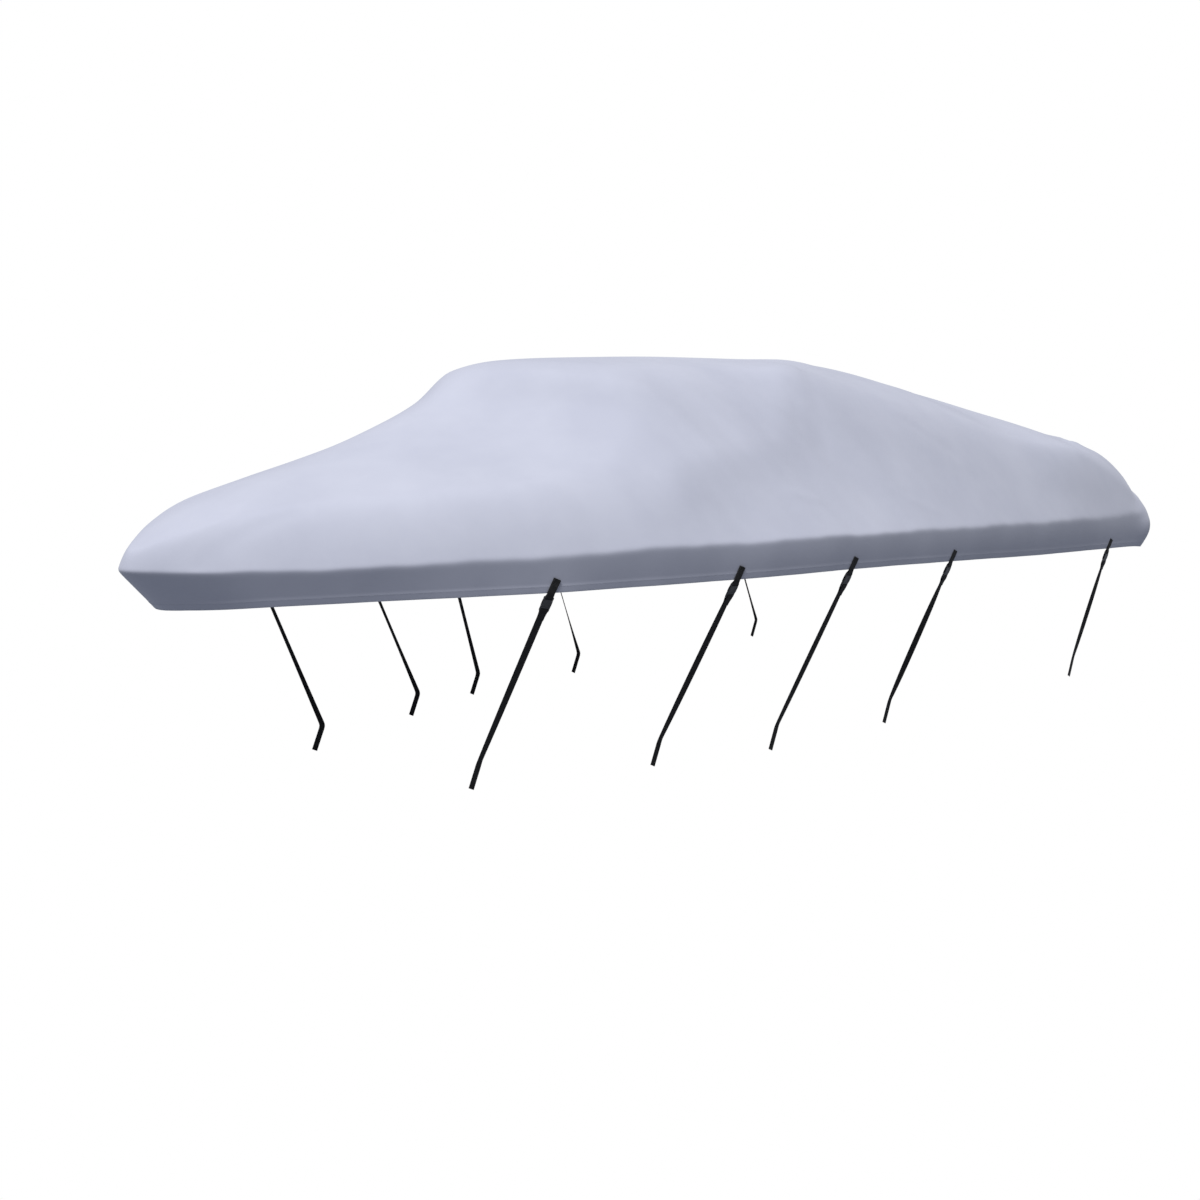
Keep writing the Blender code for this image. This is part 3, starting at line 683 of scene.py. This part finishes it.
CORNER_CUTS = 3          # how often the corners of that line are cut
SHARP_WEB = 50.0         # degrees beyond which an edge isn't shaded smooth
BOX_TOP, BOX_BOTTOM, BOX_HALF = 0.042, 0.0225, 0.0095  # heights and half width of the stitches
BOX_POINTS = 8           # on each of its sides
TAB_PITCH, TAB_STITCH, TAB_THREAD = 0.0028, 0.0023, 0.0007
PICK_PITCH, WARP_PITCH = 0.0016, 0.0021  # from ridge to ridge of the webbing, along and across
# Webbing colours: the dark one is painted shade in the weave's hollows, mixed with random mottling
WEB_DARK, WEB_PALE = (0.0042, 0.0042, 0.0045), (0.017, 0.017, 0.018)
BLACK_DARK, BLACK_PALE = (0.009, 0.009, 0.010), (0.028, 0.028, 0.030)


def unit(vector):
    return vector / np.linalg.norm(vector)


def skirt_point(at, height):
    """Point on the port skirt's outer face, that way up from the rim, and the hem's direction."""
    k = int(np.searchsorted(stations, at)) - 1
    share = (at - stations[k]) / (stations[k + 1] - stations[k])
    column = outer[:, k] * (1 - share) + outer[:, k + 1] * share
    up = np.concatenate([[0], np.cumsum(np.linalg.norm(np.diff(column, axis=0), axis=1))])
    point = np.array([np.interp(height, up, column[:, i]) for i in range(3)])
    point += unit(column[1] - column[2]) * max(-height, 0.0)
    return point, unit(outer[0, k + 1] - outer[0, k])


def strap_frame(strap):
    """Hem point and buckle axes of a port strap: along it, outwards and across."""
    rim, along_hem = skirt_point(strap["station"], 0.0)
    bend = np.array([strap["edge_x"], -strap["edge_y"], EDGE_HEIGHT]) + to_origin
    outward = np.cross([0.0, 0.0, 1.0], along_hem)
    start = rim + unit(outward * math.copysign(1.0, -outward[1])) * OUTWARD
    down = unit(bend - start)
    across = unit(along_hem - down * np.dot(along_hem, down))
    outward = np.cross(across, down)
    return {"start": start, "bend": bend, "down": down, "across": across,
            "outward": outward * math.copysign(1.0, -outward[1]), "along_hem": along_hem}


def tab_point(strap, height, out):
    """Point on the middle line of a tab, that far outside the skirt."""
    at = strap["station"] + TAB_SLANT * max(height, 0.0)
    point, along_hem = skirt_point(at, height)
    lower, _ = skirt_point(at, height - TAB_STEP)
    outward = unit(np.cross(along_hem, unit(lower - point)))
    return point + outward * math.copysign(1.0, -outward[1]) * out


def arc(middle, first, second, start, stop):
    """Middle line of webbing round a bar, from one angle to another in degrees."""
    return [middle + (first * math.cos(t) + second * math.sin(t)) * LOOP
            for t in np.radians(np.linspace(start, stop, LOOP_POINTS))]


def smooth_path(points, across, spacing):
    """The path with its corners cut round, and even rings along it."""
    both = np.hstack([np.array(points), np.array(across)])
    for _ in range(CORNER_CUTS):
        cut = np.empty((2 * len(both) - 2, 6))
        cut[0::2] = both[:-1] * 0.75 + both[1:] * 0.25
        cut[1::2] = both[:-1] * 0.25 + both[1:] * 0.75
        both = np.concatenate([both[:1], cut, both[-1:]])
    way = np.concatenate([[0], np.cumsum(np.linalg.norm(np.diff(both[:, :3], axis=0), axis=1))])
    at = np.linspace(0, way[-1], int(round(way[-1] / spacing)) + 1)
    even = np.array([np.interp(at, way, both[:, i]) for i in range(6)]).T
    return even[:, :3], even[:, 3:], at


def web_piece(name, centres, across, along, flip):
    """Webbing with round edges: width and length in metres are its texture coordinates."""
    half_flat, radius = WEB_WIDTH / 2 - WEB / 2, WEB / 2
    profile = [(half_flat + radius * math.cos(t), radius * math.sin(t))
               for t in np.linspace(-math.pi / 2, math.pi / 2, EDGE_STEPS + 1)]
    profile += [(x, radius) for x in np.linspace(half_flat, -half_flat, FACE_STEPS + 1)[1:-1]]
    profile += [(-x, -y) for x, y in profile]
    ring = len(profile)
    tangents = np.gradient(centres, axis=0)
    points, uv = [], []
    for centre, ahead, side, way in zip(centres, tangents, across, along):
        ahead = unit(ahead)
        side = unit(side - ahead * np.dot(side, ahead))
        up = np.cross(ahead, side)
        for x, y in profile:
            points.append((centre + side * x + up * y) * flip)
            uv.append((x, way))
    faces = [(k * ring + i, k * ring + (i + 1) % ring, (k + 1) * ring + (i + 1) % ring,
              (k + 1) * ring + i) for k in range(len(centres) - 1) for i in range(ring)]
    last = (len(centres) - 1) * ring
    faces += [tuple(reversed(range(ring))), tuple(range(last, last + ring))]
    if flip[1] < 0:
        faces = [face[::-1] for face in faces]
    piece = mesh_piece(name, np.array(points), faces, np.array(uv))
    piece.data.set_sharp_from_angle(angle=math.radians(SHARP_WEB))
    return piece


def webbing_material():
    """Black polyester webbing: fine picks across it, in narrow bands along its length."""
    made, tree, shader = new_material("black_webbing", Roughness=0.78, Specular_IOR_Level=0.2,
                                      Sheen_Weight=0.06, Sheen_Roughness=0.4)
    web = node(tree, "ShaderNodeUVMap", {"uv_map": "metres"}).outputs["UV"]
    weave = product(tree, threads(tree, web, "Y", PICK_PITCH, 0.5),
                    threads(tree, web, "X", WARP_PITCH, 0.3))
    # Painted shade: base colour darker between the raised threads and paler on them, plus random
    # mottling
    weave_shade_and_mottle = node(tree, "ShaderNodeMath", {"operation": "MULTIPLY_ADD"})
    tree.links.new(weave, weave_shade_and_mottle.inputs[0])
    weave_shade_and_mottle.inputs[1].default_value = 0.5
    tree.links.new(noise(tree, web, Scale=60.0, Detail=4.0), weave_shade_and_mottle.inputs[2])
    tint(tree, shader, weave_shade_and_mottle.outputs["Value"], 0.30, WEB_DARK, 1.0, WEB_PALE)
    relief(tree, shader, weave, 0.6, 0.0003)
    return made


def tab_path(strap, place):
    """Down the skirt, round the socket's bar and up again on the outer side."""
    bar = place["start"] + place["down"] * TAB_DROP
    heights = np.append(np.arange(TAB_HEIGHT, 0, -TAB_STEP), -TAB_STEP)
    under = [tab_point(strap, height, CLEAR + WEB / 2) for height in heights]
    over = [tab_point(strap, height, 2 * CLEAR + 1.5 * WEB) for height in heights]
    loop = arc(bar, place["outward"], -place["down"], 180, 360)
    across = [place["along_hem"]] * len(under) + [place["across"]] * len(loop)
    return under + loop + over[::-1], across + [place["along_hem"]] * len(over)


def box_stitch_lines(strap, place, flip):
    """The box and its cross, on the outer layer of a tab."""
    corners = [(-BOX_HALF, BOX_BOTTOM), (BOX_HALF, BOX_BOTTOM), (BOX_HALF, BOX_TOP),
               (-BOX_HALF, BOX_TOP), (-BOX_HALF, BOX_BOTTOM), (BOX_HALF, BOX_TOP)]
    runs = [corners, [(BOX_HALF, BOX_BOTTOM), (-BOX_HALF, BOX_TOP)]]
    up = unit(tab_point(strap, TAB_HEIGHT, 0.0) - tab_point(strap, 0.0, 0.0))
    across = unit(place["along_hem"] - up * np.dot(place["along_hem"], up))
    lines = []
    for run in runs:
        line = []
        for (x0, y0), (x1, y1) in zip(run[:-1], run[1:]):
            for share in np.linspace(0, 1, BOX_POINTS, endpoint=False):
                x, y = x0 + (x1 - x0) * share, y0 + (y1 - y0) * share
                point = tab_point(strap, y, 2 * CLEAR + 2 * WEB + STITCH_OUT)
                line.append((point + across * x) * flip)
        lines.append(np.array(line))
    return lines


webbing = webbing_material()
black_thread = thread_material("black_thread", BLACK_DARK, BLACK_PALE)
mirror = np.array([1.0, -1.0, 1.0])
sides = (("port", np.ones(3)), ("starboard", mirror))
straps = [dict(zip(STRAP_COLUMNS, row)) for row in STRAPS]
placed = [(number, strap, strap_frame(strap)) for number, strap in enumerate(straps, 1)]
for number, strap, place in placed:
    centres, across, along = smooth_path(*tab_path(strap, place), WEB_RING)
    for side, flip in sides:
        tab = web_piece(f"tab_{side}_{number}_web", centres, across, along, flip)
        tab.data.materials.append(webbing)
        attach(tab, "root")
        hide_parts(f"tab_{side}_{number}")
        sewn = stitched(f"tab_stitches_{side}_{number}", box_stitch_lines(strap, place, flip),
                        TAB_PITCH, TAB_STITCH, TAB_THREAD, black_thread)
        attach(sewn, "root")

# Buckles: side-release, moulded in black acetal for 25 mm webbing. The socket is a flat
# hollow shell with an opening at each side, and the plug is a frame with two sprung arms
# and a guide between them. Heights run up from the middle of the socket's bar
BUCKLE_HALF = 0.0165     # half of the width, as every depth below is half of it
BAR_HALF = 0.0021
SLOT = 0.0062            # from a bar's middle to the far edge of its slots
SLOT_HALF = WEB_WIDTH / 2 + 0.0006
SLOT_CORNER = 0.0006
PAST = 0.01              # how far a cutter runs past the face it opens
SOCKET_END = -0.0345     # where the plug goes in
SHELL_DEPTH, SHELL_ROUND = 0.0046, 0.0015
SHOULDER, NECK_HALF = -0.0125, 0.0148  # where the shell narrows, and to what at the slots
BAR_FRAME = (BUCKLE_HALF, -0.0095, BAR_HALF, 0.0026)  # half width, bottom, top, corner radius
FRAME_DEPTH, FRAME_ROUND = 0.0034, 0.0009
CAVITY = (0.0132, SOCKET_END - PAST, -0.0107, 0.0010)
WINDOW = (0.0200, -0.0265, -0.0150, 0.0028)  # through both sides, where the arms are pressed
CAVITY_DEPTH = 0.0029
PANEL = (0.0085, -0.0300, SHOULDER, 0.0055)  # sunk in both faces for the thumb
PANEL_SINK = 0.0004
PLUG_TOP = SOCKET_END - CLEAR
PLUG_BAR = -0.0475
PLUG_END = PLUG_BAR - SLOT - 0.0035
PLUG_OUTLINE = ((0.0140, PLUG_END, 0.0025), (BUCKLE_HALF, PLUG_END + 0.006, 0.003),
                (BUCKLE_HALF, PLUG_TOP, 0.0012))
PLUG_DEPTH, PLUG_ROUND = 0.0032, 0.0010
ROOT = PLUG_TOP - 0.002  # where the arms and the guide start inside the plug's frame
GUIDE = (0.0020, ROOT, -0.0130, 0.0012)
GUIDE_DEPTH, ARM_DEPTH = 0.0024, 0.0022
ARM_BELOW = ((0.0088, ROOT, 0.0), (0.0126, ROOT, 0.0), (0.0122, -0.0275, 0.0010),
             (0.0136, -0.0262, 0.0006))
GRIPS, GRIP_START, GRIP_STEP = 6, (0.0150, -0.0256), (0.0004, 0.0012)  # ridges on the arm
ARM_ABOVE = ((0.0143, -0.0180, 0.0010), (0.0112, -0.0150, 0.0010), (0.0092, -0.0158, 0.0008))
CORNER_STEPS = 5         # points round a corner of an outline
ROUND_STEPS, EDGE_FACES = 3, 2  # faces across a rounded rim and across a fine edge
SOCKET_EDGE, PLUG_EDGE = 0.0003, 0.00025
SHARP_EDGE = 40.0        # degrees from which an edge gets rounded
SHARP_MOULDING = 35.0    # degrees beyond which what is left isn't shaded smooth
PLASTIC_DARK, PLASTIC_PALE = (0.012, 0.012, 0.013), (0.021, 0.021, 0.022)


def rounded(corners):
    """An outline from corners (x, y, radius), each turned by an arc."""
    points = []
    for i, (x, y, radius) in enumerate(corners):
        here = np.array([x, y])
        before = np.array(corners[i - 1][:2]) - here
        after = np.array(corners[(i + 1) % len(corners)][:2]) - here
        if radius == 0:
            points.append(here)
            continue
        for t in np.linspace(0, 1, CORNER_STEPS):
            start, end = here + unit(before) * radius, here + unit(after) * radius
            points.append(start * (1 - t) ** 2 + here * 2 * t * (1 - t) + end * t * t)
    return [tuple(p) for p in points]


def both_halves(right):
    """A whole outline from the corners of its right half, which start at the bottom."""
    left = [(-x, y, radius) for x, y, radius in right]
    return rounded([left[0], *right, *left[:0:-1]])


def rectangle(half, bottom, top, radius=0.0):
    return both_halves([(half, bottom, radius), (half, top, radius)])


def prism(outline, half_depth, round_edges=0.0, middle=0.0):
    """An upright solid on an outline, with its edges rounded before anything is cut."""
    shape = bmesh.new()
    bottom = [shape.verts.new((x, y, middle - half_depth)) for x, y in outline]
    top = [shape.verts.new((x, y, middle + half_depth)) for x, y in outline]
    shape.faces.new(reversed(bottom))
    shape.faces.new(top)
    for i in range(len(outline)):
        j = (i + 1) % len(outline)
        shape.faces.new((bottom[i], bottom[j], top[j], top[i]))
    bmesh.ops.recalc_face_normals(shape, faces=shape.faces)
    if round_edges:
        flat = [e for e in shape.edges if abs(e.verts[0].co.z - e.verts[1].co.z) < TOUCHING]
        bmesh.ops.bevel(shape, geom=flat, offset=round_edges, segments=ROUND_STEPS,
                        profile=0.5, affect="EDGES", clamp_overlap=True)
    mesh = bpy.data.meshes.new("prism")
    shape.to_mesh(mesh)
    shape.free()
    thing = bpy.data.objects.new("prism", mesh)
    bpy.context.collection.objects.link(thing)
    return thing


def moulded(name, body, steps, edge_round):
    """One mesh: the body with each solid joined to it or cut from it, and its edges rounded."""
    for operation, other in steps:
        modifier = body.modifiers.new(operation, "BOOLEAN")
        modifier.operation = operation
        modifier.solver = "EXACT"
        modifier.object = other
    bevel = body.modifiers.new("edges", "BEVEL")
    bevel.width = edge_round
    bevel.segments = EDGE_FACES
    bevel.limit_method = "ANGLE"
    bevel.angle_limit = math.radians(SHARP_EDGE)
    bpy.context.view_layer.update()
    evaluated = body.evaluated_get(bpy.context.evaluated_depsgraph_get())
    mesh = bpy.data.meshes.new_from_object(evaluated)
    mesh.name = name
    for thing in [body] + [other for _, other in steps]:
        bpy.data.objects.remove(thing, do_unlink=True)
    shape = bmesh.new()
    shape.from_mesh(mesh)
    bmesh.ops.remove_doubles(shape, verts=shape.verts, dist=TOUCHING)
    bmesh.ops.triangulate(shape, faces=[f for f in shape.faces if len(f.verts) > 4])
    bmesh.ops.recalc_face_normals(shape, faces=shape.faces)
    shape.to_mesh(mesh)
    shape.free()
    return mesh


def cut(outline, half_depth=PAST, middle=0.0):
    return "DIFFERENCE", prism(outline, half_depth, 0.0, middle)


def socket_mesh():
    """The shell with its bar, slots, cavity, side windows and thumb panels."""
    body = prism(both_halves([(BUCKLE_HALF, SOCKET_END, 0.0022), (BUCKLE_HALF, SHOULDER, 0.004),
                              (NECK_HALF, -SLOT, 0.0012)]), SHELL_DEPTH, SHELL_ROUND)
    over_bar = rectangle(SLOT_HALF, -SLOT, PAST)
    return moulded("buckle_socket", body, (
        ("UNION", prism(rectangle(*BAR_FRAME), FRAME_DEPTH, FRAME_ROUND)),
        cut(rectangle(SLOT_HALF, -SLOT, -BAR_HALF, SLOT_CORNER)),
        cut(over_bar, middle=BAR_HALF + PAST), cut(over_bar, middle=-BAR_HALF - PAST),
        cut(rectangle(*CAVITY), CAVITY_DEPTH), cut(rectangle(*WINDOW), CAVITY_DEPTH),
        cut(rectangle(*PANEL), PANEL_SINK, SHELL_DEPTH),
        cut(rectangle(*PANEL), PANEL_SINK, -SHELL_DEPTH),
    ), SOCKET_EDGE)


def plug_mesh():
    """The frame with its bar and two slots, the guide, and the arms with their grips."""
    body = prism(both_halves(PLUG_OUTLINE), PLUG_DEPTH, PLUG_ROUND)
    around_bar = rectangle(SLOT_HALF, PLUG_BAR - SLOT, PLUG_BAR + SLOT)
    steps = [
        cut(rectangle(SLOT_HALF, PLUG_BAR - SLOT, PLUG_BAR - BAR_HALF, SLOT_CORNER)),
        cut(rectangle(SLOT_HALF, PLUG_BAR + BAR_HALF, PLUG_BAR + SLOT, SLOT_CORNER)),
        cut(around_bar, middle=BAR_HALF + PAST), cut(around_bar, middle=-BAR_HALF - PAST),
        ("UNION", prism(rectangle(*GUIDE), GUIDE_DEPTH)),
    ]
    grip = tuple((GRIP_START[0] - GRIP_STEP[0] * (i % 2), GRIP_START[1] + GRIP_STEP[1] * i, 0.0)
                 for i in range(GRIPS))
    arm = rounded(ARM_BELOW + grip + ARM_ABOVE)
    for side in (1, -1):
        steps.append(("UNION", prism([(x * side, y) for x, y in arm][::side], ARM_DEPTH)))
    return moulded("buckle_plug", body, steps, PLUG_EDGE)


def plastic_material():
    """Black acetal with the fine spark-eroded grain of its mould, a little dusty."""
    made, tree, shader = new_material("black_plastic")
    place = node(tree, "ShaderNodeTexCoord").outputs["Object"]
    dust = noise(tree, place, Scale=90.0, Detail=4.0)
    tint(tree, shader, dust, 0.35, PLASTIC_DARK, 0.75, PLASTIC_PALE)
    gloss = node(tree, "ShaderNodeMapRange", To_Min=0.34, To_Max=0.50)
    tree.links.new(dust, gloss.inputs["Value"])
    tree.links.new(gloss.outputs["Result"], shader.inputs["Roughness"])
    relief(tree, shader, noise(tree, place, Scale=1800.0, Detail=3.0), 0.3, 0.00005)
    return made


plastic = plastic_material()
buckle = {"socket": socket_mesh(), "plug": plug_mesh()}
for number, _, place in placed:
    for side, flip in sides:
        axes = [place["across"] * flip, -place["down"] * flip, place["outward"] * flip]
        if np.dot(np.cross(axes[0], axes[1]), axes[2]) < 0:
            axes[0] = -axes[0]
        axes.append((place["start"] + place["down"] * TAB_DROP) * flip)
        placing = Matrix([[*(float(axis[i]) for axis in axes)] for i in range(3)]).to_4x4()
        for kind, shape in buckle.items():
            mesh = shape.copy()
            mesh.transform(placing)
            mesh.shade_smooth()
            mesh.set_sharp_from_angle(angle=math.radians(SHARP_MOULDING))
            mesh.materials.clear()
            mesh.materials.append(plastic)
            piece = bpy.data.objects.new(f"{kind}_{side}_{number}_moulding", mesh)
            bpy.context.collection.objects.link(piece)
            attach(piece, "root")
            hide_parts(f"{kind}_{side}_{number}")

# Tie-down straps: black polyester webbing. Each is looped round the bar of its plug with a
# short tail, runs straight to the edge below and hangs from there to a cut, sealed end
STRAP_DROP = 0.088       # from the edge below down to the cut end
STRAP_LEAN = 0.040       # and how far the strap leans towards the bow on that drop
TAIL = 0.042             # from the plug's bar down to the end of the strap's tail
CLOSED = 0.026           # and to where the tail lies against the strap
PAST_PLUG = 0.0115       # and to where the webbing has cleared the plug
RUN_STEPS = 40           # points of the straight run
RUN_SHARE = 0.99         # where they end on the way to the edge below
TWIST_SPREAD = 0.8       # under 1, the twist is held along more of the run
HANG_SHARES = (0.06, 0.3, 0.6, 1.0)  # points of the hanging end
STRAP_RING = 0.004       # distance between the rings of a strap


def strap_path(place, twist):
    """From the tail's end up round the plug's bar and down to the cut end."""
    down, outward, bend = place["down"], place["outward"], place["bend"]
    bar = place["start"] + down * (TAB_DROP - PLUG_BAR)
    gap = WEB + CLEAR

    def below(way, out):
        return bar + down * way + outward * out

    loop = [below(TAIL, gap * 0.5), below(CLOSED, gap * 0.6), below(PAST_PLUG, LOOP)]
    loop += arc(bar, outward, down, 0, -180)
    loop += [below(PAST_PLUG, -LOOP), below(CLOSED, -gap * 0.5)]
    across = [place["across"]] * len(loop)
    start = below(TAIL, -gap * 0.5)
    run, run_across = [], []
    for share in np.linspace(0, RUN_SHARE, RUN_STEPS):
        run.append(start + (bend - start) * share)
        side = unit(place["across"] * (1 - share) + np.array([1.0, 0.0, 0.0]) * share)
        held = math.sin(math.pi * share) ** TWIST_SPREAD
        turn = Matrix.Rotation(math.radians(twist) * held, 3, Vector(down))
        run_across.append(np.array(turn @ Vector(side)))
    lean = np.array([STRAP_LEAN, 0.0, STRAP_DROP])
    drop = [bend - lean * share for share in HANG_SHARES]
    return loop + run + drop, across + run_across + [np.array([1.0, 0.0, 0.0])] * len(drop)


for number, strap, place in placed:
    centres, across, along = smooth_path(*strap_path(place, strap["twist"]), STRAP_RING)
    for side, flip in sides:
        piece = web_piece(f"strap_{side}_{number}_web", centres, across, along, flip)
        piece.data.materials.append(webbing)
        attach(piece, "root")
        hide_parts(f"strap_{side}_{number}")
